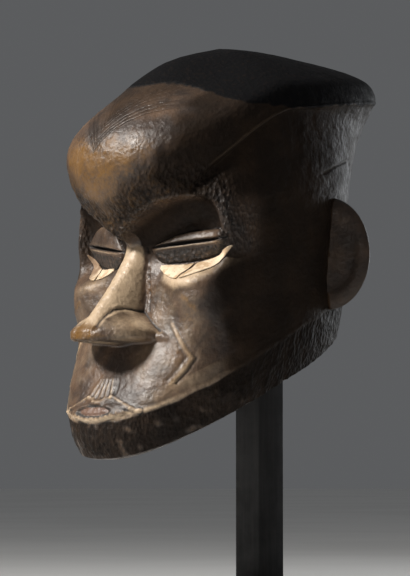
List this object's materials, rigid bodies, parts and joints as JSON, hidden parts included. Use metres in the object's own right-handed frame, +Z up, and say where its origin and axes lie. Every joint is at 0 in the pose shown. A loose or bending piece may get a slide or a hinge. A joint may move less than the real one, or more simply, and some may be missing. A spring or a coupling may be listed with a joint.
{
  "type": "carved helmet mask",
  "caption": "Hollow carved wooden helmet mask with a domed forehead, flange ears and pale strips under closed eyes, on a square post and a square foot.",
  "frame": {"origin": "middle of the foot's underside, straight below the post", "axes": "+Z up along the post, -Y the way the face looks, +X the mask's own left"},
  "size_m": [0.2486, 0.3349, 0.541],
  "materials": {
    "carved_wood": "dark worn patina, satin",
    "strip": "pale, dry",
    "post_black": "matte black stain",
    "foot_black": "matte black stain"
  },
  "bodies": {
    "root": {"mask": "carved_wood", "left_eye_strip_inner": "strip", "left_eye_strip_outer": "strip", "right_eye_strip_inner": "strip", "right_eye_strip_outer": "strip", "post": "post_black", "foot": "foot_black"}
  },
  "joints": []
}
